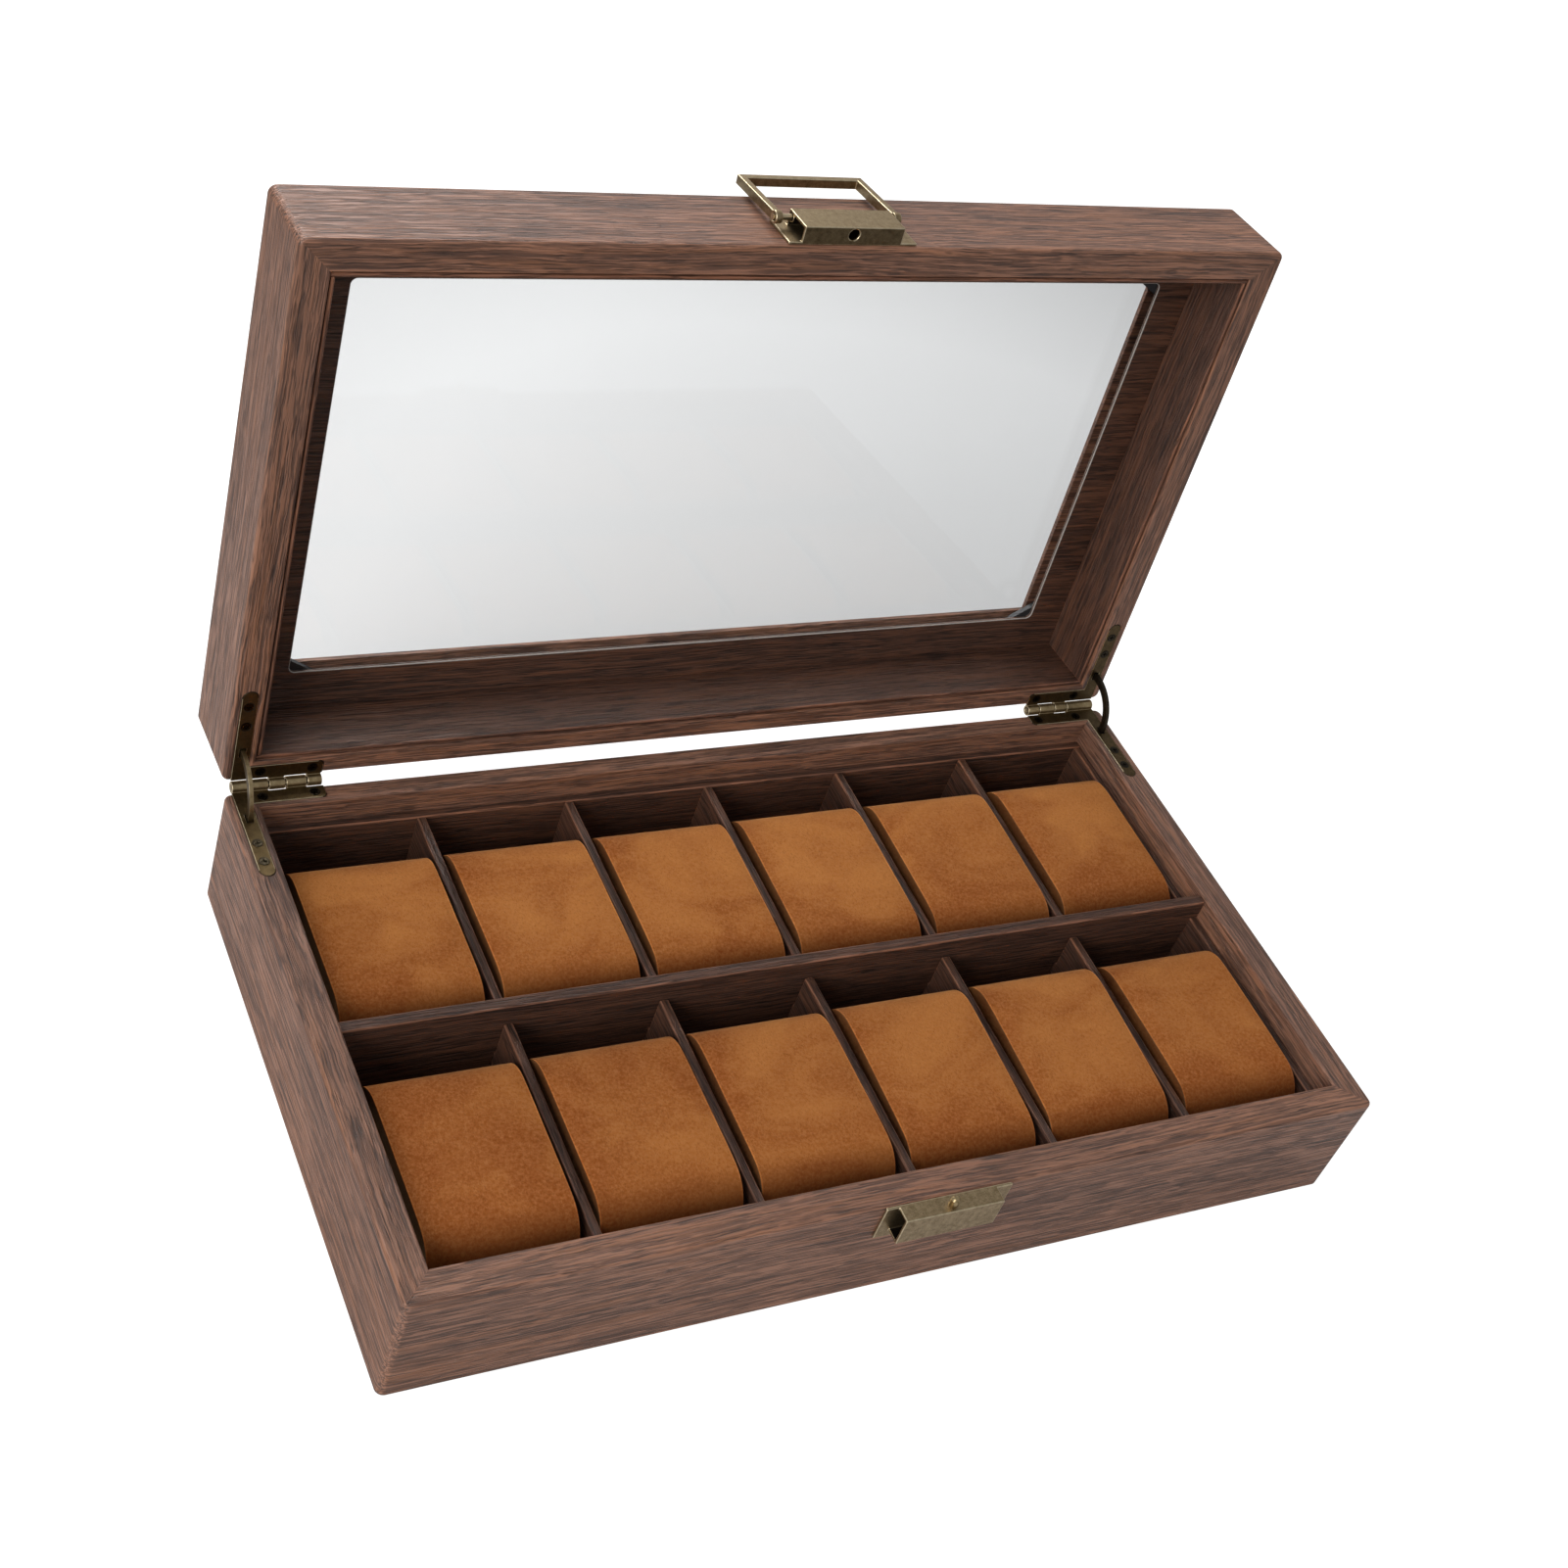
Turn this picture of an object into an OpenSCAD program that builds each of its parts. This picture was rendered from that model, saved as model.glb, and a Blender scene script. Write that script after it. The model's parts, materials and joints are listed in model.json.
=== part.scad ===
// Watch box: twelve cushioned slots, glass-lidded case on quadrant hinges with arc stays, front loop clasp.
// Origin: centre of the underside. +X along the width, +Y to the hinge side, +Z up. Millimetres.
// Lid parts are written closed and turned open about the hinge axis by lid_pose().

/* [Case] */
// overall width of the case
body_w = 332; // [300:1:360]
// front to back depth of the case walls
body_d = 187.5; // [180:0.5:200]
// height of the base
base_h = 43.2; // [40:0.2:50]
// height of the lid
lid_h = 30; // [28:0.5:36]
// thickness of the front and side walls
wall_t = 10; // [9.5:0.5:11]
// thickness of the back wall
back_t = 7; // [7:0.5:9]
// thickness of the bottom panel
bottom_t = 4.6; // [3:0.2:6]
// thickness of the felt under the case
felt_t = 1; // [0.8:0.1:1.5]
// angle of the lid when it rests on its stays
open_deg = 94.4; // [90:0.2:96]

/* [Tray] */
// thickness of the slot floor board
floor_t = 1.6; // [0.8:0.1:2]
// thickness of the tray side boards
tray_t = 3; // [2.5:0.5:3.5]
// thickness of the column dividers
col_t = 3; // [2.5:0.5:3.5]
// thickness of the row divider
row_t = 4; // [3:0.5:5]
// how far the tray boards stop below the rim
tray_drop = 8.8; // [7:0.2:10]
// how far the row divider stops below the rim
row_drop = 1.2; // [1:0.2:3]
// play at each side of a cross lap
lap_fit = 0.1; // [0.05:0.05:0.2]

/* [Cushions] */
// play at the left side of a cushion in its slot
cushion_left_gap = 0.5; // [0.4:0.1:1.5]
// play at the right side of a cushion in its slot
cushion_right_gap = 2.3; // [1.5:0.1:3]
// play in front of each cushion
cushion_front_gap = 2.4; // [2:0.2:4]
// gap behind each front cushion, for the strap
cushion_back_gap = 10.85; // [9:0.05:14]
// how far a cushion stops below the rim
cushion_drop = 4.9; // [4:0.1:8]
// corner radius of the cushion ends
cushion_r = 11; // [8:1:13]
// gap under each cushion
cushion_lift = 0.3; // [0.3:0.1:0.6]

/* [Lid] */
// gap between the two rims when closed
rim_gap = 1; // [0.8:0.1:1.4]
// width of the frame round the window, from the inner faces of the walls
frame_w = 15.1; // [13:0.1:18]
// height of the top board
top_t = 5.4; // [5:0.1:6]
// thickness of the lip that the glass rests against
lip_t = 1.8; // [1.5:0.1:2]
// thickness of the glass
glass_t = 1.8; // [1.5:0.1:2]
// width of the rebate that holds the glass
rebate_w = 4; // [3:0.5:5]
// play round the glass in its rebate
glass_fit = 0.1; // [0.1:0.05:0.3]
// thickness of the inner window panel
inner_t = 1.2; // [1:0.1:1.6]
// corner radius of that panel's opening
inner_r = 2; // [1:0.5:3]
// how far the outer lip stands in from the opening of the inner panel
lip_in = 0.7; // [0:0.1:1.5]
// thickness of the liner boards
liner_t = 1.7; // [1.5:0.1:3]
// how far the liner stops short of the lid rim
liner_drop = 0.6; // [0.4:0.1:1.5]
// width of the groove between liner and wall
groove_w = 0.6; // [0.4:0.1:0.8]
// depth of that groove
groove_h = 2; // [1:0.5:3]
// leg along the width of the black pads in the corners of the glass rebate
pad_x = 17; // [14:0.5:18]
// leg of those pads along the depth
pad_y = 10.5; // [9:0.5:12]

/* [Hinges] */
// outer diameter of the hinge barrel
barrel_d = 3.8; // [3.6:0.1:4]
// hinge pin diameter
pin_d = 1.8; // [1.6:0.1:1.9]
// play round whatever turns on a pin
turn_fit = 0.3; // [0.3:0.05:0.4]
// how far the hinge axis stands behind the back face
axis_out = 2.2; // [2.2:0.1:2.6]
// leaf thickness
leaf_t = 1; // [1:0.1:1.2]
// width of each leaf arm
arm_w = 5; // [5:0.1:5.4]
// margin between the leaf and the outer side face
leaf_in = 2.8; // [2.5:0.1:2.9]
// length of the leaf arm on the side wall, from the back face
side_arm = 35; // [33:0.5:38]
// length of the leaf arm on the back wall, from the leaf corner
back_arm = 29.2; // [29:0.1:31]
// centre radius of the arc stay
stay_r = 13.3; // [13:0.1:13.6]
// radial width of the stay
stay_w = 2.4; // [2.2:0.1:2.6]
// thickness of the stay
stay_t = 1.3; // [1.2:0.1:1.5]
// play between the stay and its slots
stay_fit = 0.4; // [0.35:0.05:0.5]
// diameter of the stop stud at each end of the stay
stud_d = 2.6; // [2.4:0.1:2.8]
// length of the stop stud
stud_l = 3.6; // [3.4:0.1:3.8]
// screw head diameter
screw_head_d = 2.8; // [2.6:0.1:3]
// dark ring left round a screw head in its countersink
head_ring = 0.35; // [0.2:0.05:0.4]
// screw shank diameter
screw_d = 1.6; // [1.4:0.1:1.8]
// screw length
screw_l = 8; // [6:0.5:9]
// play round a screw, tack or rivet
screw_fit = 0.05; // [0.05:0.01:0.1]

/* [Clasp] */
// how far the clasp sits to the right of the middle
clasp_x = 1.4; // [0:0.1:2]
// how far the plates against the walls reach past the clasp bodies on the left
ear_l = 4.2; // [4:0.1:6]
// how far they reach past the clasp bodies on the right
ear_r = 5.6; // [4:0.1:7]
// height of those plates
plate_h = 14; // [14:0.5:16]
// width of the folded clasp bodies
clasp_w = 34; // [32:0.5:35]
// how far the clasp bodies stand out from the wall
clasp_out = 5.9; // [5.8:0.1:7.5]
// height of the lid clasp body
clasp_h = 11.1; // [11:0.1:12]
// how far the lid clasp body stands back from the rim of the lid
clasp_back = 0.8; // [0:0.1:1]
// height of the base catch body
catch_h = 11; // [10.8:0.1:12]
// how far the base catch body stands back from the rim of the case
catch_back = 0.4; // [0:0.1:0.6]
// sheet thickness
sheet_t = 0.9; // [0.8:0.1:1]
// play between the clasp bodies and the loop, each side
loop_gap = 2.1; // [1.9:0.1:2.2]
// how far the loop sits to the left on its axle
loop_shift = 1.6; // [0:0.1:1.6]
// section of the loop along its plane
loop_t = 2.3; // [2:0.1:2.4]
// section of the loop across its plane
loop_b = 3; // [2.6:0.1:3]
// play under the catch for the bar of the hooked loop
hook_gap = 1.2; // [0.6:0.1:1.4]
// how far short of the lid wall the loop rests, degrees
loop_off = 3; // [0:0.5:4]
// diameter of the loop axle
axle_d = 1.9; // [1.8:0.1:2]
// locating pin diameter
guide_d = 2.8; // [2.4:0.1:3]
// play round the locating pin in its hole
guide_fit = 0.4; // [0.4:0.05:0.5]

/* [Part] */
// sub-part to draw, or all

/* [Hidden] */
$fn = 64;
cut = 1;
in_x = body_w / 2 - wall_t;
in_y = body_d / 2 - wall_t;
in_back = body_d / 2 - back_t;
out_y = body_d / 2;
floor_z = felt_t + bottom_t + floor_t;
tray_z = base_h - tray_drop;
row_z = base_h - row_drop;
lap_z = (floor_z + tray_z) / 2;
tray_x = in_x - tray_t;
tray_y = in_y - tray_t;
tray_back_y = in_back - tray_t;
felt_fit = 0.3;
// slots: the sub-part list holds this many across
slots_across = 6;
slot_w = (2 * tray_x - (slots_across - 1) * col_t) / slots_across;
pitch = slot_w + col_t;
cushion_w = slot_w - cushion_left_gap - cushion_right_gap;
cushion_len = tray_y - row_t / 2 - cushion_front_gap - cushion_back_gap;
cushion_z0 = floor_z + cushion_lift;
cushion_z1 = base_h - cushion_drop;
// lid, closed
rim_z = base_h + rim_gap;
lid_top_z = rim_z + lid_h;
board_z = lid_top_z - top_t;
panel_z = board_z - inner_t;
glass_z = lid_top_z - lip_t - glass_t;
win_x = in_x - frame_w;
win_front = -in_y + frame_w;
win_back = in_back - frame_w;
// each pad: side, front or back, and its size beside the nominal one, since they are cut by hand
pads = [[-1, -1, 0.7], [1, -1, 1.05], [-1, 1, 1], [1, 1, 1]];
// hinges
hinge_y = out_y + axis_out;
hinge_z = base_h + rim_gap / 2;
leaf_x = body_w / 2 - leaf_in - arm_w / 2;
leaf_corner_x = body_w / 2 - leaf_in;
back_arm_y = out_y - arm_w / 2;
leaf_round = 1.5;
leaf_overlap = 1;
// knuckles along the pin: the first one's offset from the side face, the gap between two, and their lengths
knuckle_in = 3;
knuckle_gap = 0.4;
knuckle_l1 = 11.4;
knuckle_l2 = 5;
knuckle_l3 = 6.4;
knuckle_l4 = 4.6;
knuckle_2 = knuckle_in + knuckle_l1 + knuckle_gap;
knuckle_3 = knuckle_2 + knuckle_l2 + knuckle_gap;
knuckle_4 = knuckle_3 + knuckle_l3 + knuckle_gap;
pin_end = knuckle_4 + knuckle_l4;
knuckles = [
    [knuckle_in, knuckle_in + knuckle_l1], [knuckle_2, knuckle_2 + knuckle_l2],
    [knuckle_3, knuckle_3 + knuckle_l3], [knuckle_4, pin_end]];
mortise_fit = 0.25;
// stay: the stud centre stands this far under a leaf when the lid is open
stud_under = rim_gap / 2 + leaf_t + stud_d / 2 + turn_fit;
stud_deg = asin(stud_under / stay_r);
pocket_deg = open_deg / 2 + stud_deg + asin((stud_d / 2 + stay_fit) / stay_r);
pocket_w = stud_d + 2 * stay_fit;
pocket_l = stud_l + 2 * stay_fit;
slot_deg = 20;
// screw distances from the back face and from the leaf corner
side_screw_1 = 21.4;
side_screw_2 = 29;
back_screw_1 = 9.1;
back_screw_2 = 25.8;
leaf_screw_spots = [
    [-leaf_x, out_y - side_screw_1], [-leaf_x, out_y - side_screw_2],
    [-leaf_corner_x + back_screw_1, back_arm_y], [-leaf_corner_x + back_screw_2, back_arm_y]];
head_h = 0.8;
cross_w = 0.45;
cross_l = 1.8;
cross_h = 0.4;
// clasp
plate_t = sheet_t;
plate_x1 = -clasp_w / 2 - ear_l;
plate_x2 = clasp_w / 2 + ear_r;
loop_w = clasp_w + 2 * (loop_gap + loop_t);
loop_x = clasp_x - loop_shift;
catch_top = base_h - catch_back;
catch_z0 = catch_top - catch_h;
clasp_z0 = rim_z + clasp_back;
guide_part = 0.58;
guide_y = -out_y - clasp_out * guide_part;
guide_over = 0.1;
guide_h = clasp_z0 - catch_top + sheet_t + guide_over;
guide_tip = 0.6;
rivet_d = 1.8;
rivet_t = 0.8;
roll_d = 3.2;
// how far the roll sits into the sheet round it
roll_sink = 0.6;
roll_in = roll_d / 2 + sheet_t - roll_sink;
axle_y = -out_y - clasp_out + roll_in;
axle_z = clasp_z0 + clasp_h - roll_in;
axle_over = 0.4;
axle_l = loop_w + 2 * axle_over;
loop_bore = axle_d + 2 * turn_fit;
eye_d = 4;
loop_in = axle_z - catch_z0 + hook_gap;
loop_len = loop_in + loop_t;
// lean of the loop toward the lid wall, short of touching the wall's top edge
lean_reach = lid_top_z - axle_z;
lean_room = -out_y - turn_fit - axle_y;
lean_hyp = sqrt(lean_reach * lean_reach + lean_room * lean_room);
lean_deg = atan2(lean_room, lean_reach) - asin(loop_b / 2 / lean_hyp) - loop_off;
tack_x = 9;
tack_head_d = 3.2;
tack_head_t = 0.8;
tack_d = 1.4;
tack_l = 7;
catch_tack_z = catch_top - plate_h / 2;
clasp_tack_up = 4.2;
clasp_tack_z = clasp_z0 + clasp_tack_up;

leather = [0.42, 0.31, 0.26];
inside = [0.26, 0.18, 0.15];
suede = [0.60, 0.36, 0.18];
bronze = [0.40, 0.35, 0.22];
brass = [0.72, 0.62, 0.36];
black = [0.06, 0.06, 0.06];
clear = [0.85, 0.88, 0.9, 0.4];

// ---------- placing ----------

// turns closed-lid geometry open about the hinge axis
module lid_pose() {
    translate([0, hinge_y, hinge_z]) rotate([-open_deg, 0, 0])
        translate([0, -hinge_y, -hinge_z]) children();
}

// mirrors base hardware into the closed lid, about the level of the hinge axis
module to_lid() {
    translate([0, 0, 2 * hinge_z]) mirror([0, 0, 1]) children();
}

// puts left-hand geometry on the left or the right
module side(s) {
    if (s < 0) children();
    if (s > 0) mirror([1, 0, 0]) children();
}

// a block from corner to corner
module block(a, b) {
    translate(a) cube(b - a);
}

// ---------- walls ----------

// mitred front wall footprint of thickness t, outer face at the front
module long_wall(h, t) {
    linear_extrude(h) polygon([
        [-body_w / 2, -out_y], [body_w / 2, -out_y], [in_x, -out_y + t], [-in_x, -out_y + t]]);
}

// mitred left wall footprint
module short_wall(h) {
    linear_extrude(h) polygon([
        [-body_w / 2, -out_y], [-in_x, -in_y], [-in_x, in_back], [-body_w / 2, out_y]]);
}

// everything let into the rim at the left hinge, drawn for the base
module hinge_cuts() {
    leaf_plate(mortise_fit, base_h - leaf_t, base_h + cut);
    stay_arc(-pocket_deg, 0, pocket_w, pocket_l);
    for (p = leaf_screw_spots) translate([p[0], p[1], base_h - screw_l - leaf_t])
        cylinder(d = screw_d + 2 * screw_fit, h = screw_l + cut);
}

// cuts shared by the side and back walls at both hinges
module both_hinge_cuts() {
    hinge_cuts();
    mirror([1, 0, 0]) hinge_cuts();
}

// tack holes through the front wall
module tack_holes(z) {
    for (x = [-tack_x, tack_x]) translate([clasp_x + x, -out_y - plate_t - cut, z]) rotate([-90, 0, 0])
        cylinder(d = tack_d + 2 * screw_fit, h = tack_l + plate_t + cut);
}

module base_front() {
    color(leather) difference() {
        long_wall(base_h, wall_t);
        tack_holes(catch_tack_z);
    }
}

module base_back() {
    color(leather) difference() {
        mirror([0, 1, 0]) long_wall(base_h, back_t);
        both_hinge_cuts();
    }
}

module base_left() {
    color(leather) difference() {
        short_wall(base_h);
        hinge_cuts();
    }
}

module base_right() {
    color(leather) mirror([1, 0, 0]) difference() {
        short_wall(base_h);
        hinge_cuts();
    }
}

module base_bottom() {
    color(inside) block([-in_x, -in_y, felt_t], [in_x, in_back, felt_t + bottom_t]);
}

module base_felt() {
    color(black) block([-in_x + felt_fit, -in_y + felt_fit, 0], [in_x - felt_fit, in_back - felt_fit, felt_t]);
}

// ---------- tray ----------

module tray_floor() {
    color(inside) block([-in_x, -in_y, floor_z - floor_t], [in_x, in_back, floor_z]);
}

module tray_front() {
    color(inside) block([-in_x, -in_y, floor_z], [in_x, -tray_y, tray_z]);
}

module tray_back() {
    color(inside) block([-in_x, tray_back_y, floor_z], [in_x, in_back, tray_z]);
}

module tray_left() {
    color(inside) block([-in_x, -tray_y, floor_z], [-tray_x, tray_back_y, tray_z]);
}

module tray_right() {
    color(inside) block([tray_x, -tray_y, floor_z], [in_x, tray_back_y, tray_z]);
}

// row divider: lapped under the column dividers, with ears over the side boards
module row_divider() {
    color(inside) difference() {
        union() {
            block([-tray_x, -row_t / 2, floor_z], [tray_x, row_t / 2, row_z]);
            block([-in_x, -row_t / 2, tray_z], [in_x, row_t / 2, row_z]);
        }
        for (i = [1:slots_across - 1]) {
            x = -tray_x + i * pitch - col_t / 2;
            lap_w = col_t / 2 + lap_fit;
            block([x - lap_w, -row_t, floor_z - cut], [x + lap_w, row_t, lap_z]);
        }
    }
}

// column divider i, counted from the left, slotted from above over the row divider
module column_divider(i) {
    x = -tray_x + i * pitch - col_t / 2;
    color(inside) difference() {
        block([x - col_t / 2, -tray_y, floor_z], [x + col_t / 2, tray_back_y, tray_z]);
        block([x - col_t, -row_t / 2 - lap_fit, lap_z], [x + col_t, row_t / 2 + lap_fit, tray_z + cut]);
    }
}

module column_divider_1() {
    column_divider(1);
}

module column_divider_2() {
    column_divider(2);
}

module column_divider_3() {
    column_divider(3);
}

module column_divider_4() {
    column_divider(4);
}

module column_divider_5() {
    column_divider(5);
}

// ---------- cushions ----------

// cushion in slot i from the left; r = -1 for the front row, 1 for the back row
module cushion(i, r) {
    x0 = -tray_x + (i - 1) * pitch + cushion_left_gap;
    y0 = (r < 0 ? -tray_y : row_t / 2) + cushion_front_gap;
    y1 = y0 + cushion_len;
    color(suede) translate([x0, 0, 0]) union() {
        block([0, y0 + cushion_r, cushion_z0], [cushion_w, y1 - cushion_r, cushion_z1]);
        block([0, y0, cushion_z0 + cushion_r], [cushion_w, y1, cushion_z1 - cushion_r]);
        for (b = [y0 + cushion_r, y1 - cushion_r])
            for (c = [cushion_z0 + cushion_r, cushion_z1 - cushion_r])
                translate([0, b, c]) rotate([0, 90, 0]) cylinder(r = cushion_r, h = cushion_w);
    }
}

module cushion_front_1() {
    cushion(1, -1);
}

module cushion_front_2() {
    cushion(2, -1);
}

module cushion_front_3() {
    cushion(3, -1);
}

module cushion_front_4() {
    cushion(4, -1);
}

module cushion_front_5() {
    cushion(5, -1);
}

module cushion_front_6() {
    cushion(6, -1);
}

module cushion_back_1() {
    cushion(1, 1);
}

module cushion_back_2() {
    cushion(2, 1);
}

module cushion_back_3() {
    cushion(3, 1);
}

module cushion_back_4() {
    cushion(4, 1);
}

module cushion_back_5() {
    cushion(5, 1);
}

module cushion_back_6() {
    cushion(6, 1);
}

// ---------- lid ----------

module lid_front() {
    color(leather) lid_pose() difference() {
        translate([0, 0, rim_z]) long_wall(lid_h, wall_t);
        tack_holes(clasp_tack_z);
    }
}

module lid_back() {
    color(leather) lid_pose() difference() {
        translate([0, 0, rim_z]) mirror([0, 1, 0]) long_wall(lid_h, back_t);
        to_lid() both_hinge_cuts();
    }
}

module lid_left() {
    color(leather) lid_pose() difference() {
        translate([0, 0, rim_z]) short_wall(lid_h);
        to_lid() hinge_cuts();
    }
}

module lid_right() {
    color(leather) lid_pose() mirror([1, 0, 0]) difference() {
        translate([0, 0, rim_z]) short_wall(lid_h);
        to_lid() hinge_cuts();
    }
}

// top board with the window, rebated underneath for the glass
module lid_top() {
    color(leather) lid_pose() difference() {
        block([-in_x, -in_y, board_z], [in_x, in_back, lid_top_z]);
        block(
            [-win_x + lip_in, win_front + lip_in, board_z],
            [win_x - lip_in, win_back - lip_in, lid_top_z + cut]);
        block(
            [-win_x - rebate_w, win_front - rebate_w, board_z - cut],
            [win_x + rebate_w, win_back + rebate_w, lid_top_z - lip_t]);
    }
}

module lid_glass() {
    g = rebate_w - glass_fit;
    color(clear) lid_pose()
        block([-win_x - g, win_front - g, glass_z], [win_x + g, win_back + g, glass_z + glass_t]);
}

module lid_inner_panel() {
    color(inside) lid_pose() difference() {
        block([-in_x, -in_y, panel_z], [in_x, in_back, board_z]);
        block([-win_x + inner_r, win_front, panel_z - cut], [win_x - inner_r, win_back, board_z + cut]);
        block([-win_x, win_front + inner_r, panel_z - cut], [win_x, win_back - inner_r, board_z + cut]);
        for (x = [-win_x + inner_r, win_x - inner_r], y = [win_front + inner_r, win_back - inner_r])
            translate([x, y, panel_z - cut]) cylinder(r = inner_r, h = inner_t + 2 * cut);
    }
}

// black pads in the corners of the rebate, pressing the glass against the lip
module window_corner_pads() {
    color(black) lid_pose() for (p = pads) {
        corner = [p[0] * (win_x + rebate_w), p[1] < 0 ? win_front - rebate_w : win_back + rebate_w, board_z];
        translate(corner) linear_extrude(glass_z - board_z)
            polygon([[0, 0], [-p[0] * pad_x * p[2], 0], [0, -p[1] * pad_y * p[2]]]);
    }
}

// section of a liner board: x from the wall, y from the rim, with the groove along the wall
module liner_section() {
    h = panel_z - rim_z;
    polygon([
        [0, liner_drop + groove_h], [groove_w, liner_drop], [liner_t, liner_drop], [liner_t, h], [0, h]]);
}

// liner board along the front wall, whose inner face is at this depth
module long_liner(depth) {
    translate([-in_x, -depth, rim_z]) rotate([90, 0, 90]) linear_extrude(2 * in_x) liner_section();
}

// liner board along the left wall, between the long ones
module short_liner() {
    y = in_back - liner_t;
    translate([-in_x, y, rim_z]) rotate([90, 0, 0]) linear_extrude(y + in_y - liner_t) liner_section();
}

module liner_front() {
    color(inside) lid_pose() long_liner(in_y);
}

module liner_back() {
    color(inside) lid_pose() mirror([0, 1, 0]) long_liner(in_back);
}

module liner_left() {
    color(inside) lid_pose() short_liner();
}

module liner_right() {
    color(inside) lid_pose() mirror([1, 0, 0]) short_liner();
}

// ---------- hinges ----------

// L-shaped leaf of the left hinge between two heights, grown by g all round
module leaf_plate(g, z0, z1) {
    x0 = -leaf_corner_x - g;
    x1 = -leaf_corner_x + back_arm + g;
    y0 = out_y - arm_w - g;
    y_end = out_y - side_arm + arm_w / 2;
    r = leaf_round;
    block([x0, y_end, z0], [-leaf_corner_x + arm_w + g, out_y, z1]);
    translate([-leaf_x, y_end, z0]) cylinder(d = arm_w + 2 * g, h = z1 - z0);
    block([x0, y0, z0], [x1 - r, out_y, z1]);
    block([x0, y0 + r, z0], [x1, out_y, z1]);
    translate([x1 - r, y0 + r, z0]) cylinder(r = r, h = z1 - z0);
}

// arc about the hinge axis at the left stay, between two angles, w wide and t thick
module stay_arc(a0, a1, w, t) {
    translate([-leaf_x, hinge_y, hinge_z]) rotate([90, 0, -90]) rotate([0, 0, a0])
        rotate_extrude(angle = a1 - a0) translate([stay_r - w / 2, -t / 2]) square([w, t]);
}

// rod along X on the hinge axis of the left hinge, between two offsets from the side face
module axis_rod(d, a, b) {
    translate([-body_w / 2 + a, hinge_y, hinge_z]) rotate([0, 90, 0]) cylinder(d = d, h = b - a);
}

// a leaf of the left hinge with the knuckles in the list ks, bored to take the pin with some play
module leaf(ks, play) {
    difference() {
        union() {
            leaf_plate(0, base_h - leaf_t, base_h);
            for (k = ks) {
                a = knuckles[k][0];
                b = knuckles[k][1];
                axis_rod(barrel_d, a, b);
                block(
                    [-body_w / 2 + a, out_y - leaf_overlap, base_h - leaf_t],
                    [-body_w / 2 + b, hinge_y, base_h]);
            }
        }
        axis_rod(pin_d + 2 * play, knuckle_in - cut, pin_end + cut);
        stay_arc(-slot_deg, slot_deg, stay_w + 2 * stay_fit, stay_t + 2 * stay_fit);
        for (p = leaf_screw_spots) translate([p[0], p[1], base_h]) {
            translate([0, 0, -head_h])
                cylinder(d1 = screw_d + 2 * screw_fit, d2 = screw_head_d + 2 * head_ring, h = head_h);
            translate([0, 0, -leaf_t - cut]) cylinder(d = screw_d + 2 * screw_fit, h = leaf_t + cut);
        }
    }
}

module base_leaf_left() {
    color(bronze) leaf([0, 2], screw_fit);
}

module base_leaf_right() {
    color(bronze) mirror([1, 0, 0]) leaf([0, 2], screw_fit);
}

module lid_leaf_left() {
    color(bronze) lid_pose() to_lid() leaf([1, 3], turn_fit);
}

module lid_leaf_right() {
    color(bronze) lid_pose() mirror([1, 0, 0]) to_lid() leaf([1, 3], turn_fit);
}

module hinge_pin(s) {
    color(bronze) side(s) axis_rod(pin_d, knuckle_in, pin_end);
}

module hinge_pin_left() {
    hinge_pin(-1);
}

module hinge_pin_right() {
    hinge_pin(1);
}

// countersunk cross-head screw, head flush with the rim
module screw() {
    difference() {
        union() {
            translate([0, 0, -head_h]) cylinder(d1 = screw_d, d2 = screw_head_d, h = head_h);
            translate([0, 0, -screw_l]) cylinder(d = screw_d, h = screw_l - head_h);
        }
        block([-cross_l / 2, -cross_w / 2, -cross_h], [cross_l / 2, cross_w / 2, cut]);
        block([-cross_w / 2, -cross_l / 2, -cross_h], [cross_w / 2, cross_l / 2, cut]);
    }
}

module leaf_screws() {
    for (s = [-1, 1]) side(s) for (p = leaf_screw_spots) translate([p[0], p[1], base_h]) screw();
}

module base_screws() {
    color(bronze) leaf_screws();
}

module lid_screws() {
    color(bronze) lid_pose() to_lid() leaf_screws();
}

// arc stay with a stop stud at each end, half way out of both walls
module stay(s) {
    a0 = -stud_deg;
    a1 = open_deg + stud_deg;
    color(bronze) side(s) union() {
        stay_arc(a0, a1, stay_w, stay_t);
        for (a = [a0, a1]) translate([
            -leaf_x - stud_l / 2, hinge_y - stay_r * cos(a), hinge_z + stay_r * sin(a)])
            rotate([0, 90, 0]) cylinder(d = stud_d, h = stud_l);
    }
}

module stay_left() {
    stay(-1);
}

module stay_right() {
    stay(1);
}

// ---------- clasp ----------

// folded sheet body h high with its mating face at z = 0, open at both ends
module folded_body(h) {
    y1 = -out_y - plate_t;
    y2 = -out_y - clasp_out;
    translate([clasp_x, 0, 0]) {
        block([plate_x1, y1, 0], [plate_x2, -out_y, plate_h]);
        block([-clasp_w / 2, y2, 0], [clasp_w / 2, -out_y, sheet_t]);
        block([-clasp_w / 2, y2, 0], [clasp_w / 2, y2 + sheet_t, h]);
        block([-clasp_w / 2, y2, h - sheet_t], [clasp_w / 2, -out_y, h]);
    }
}

// tacks inside a folded body
module tacks(z) {
    y = -out_y - plate_t;
    for (x = [-tack_x, tack_x]) translate([clasp_x + x, y, z]) rotate([-90, 0, 0]) {
        translate([0, 0, -tack_head_t]) cylinder(d = tack_head_d, h = tack_head_t);
        cylinder(d = tack_d, h = tack_l);
    }
}

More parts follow.
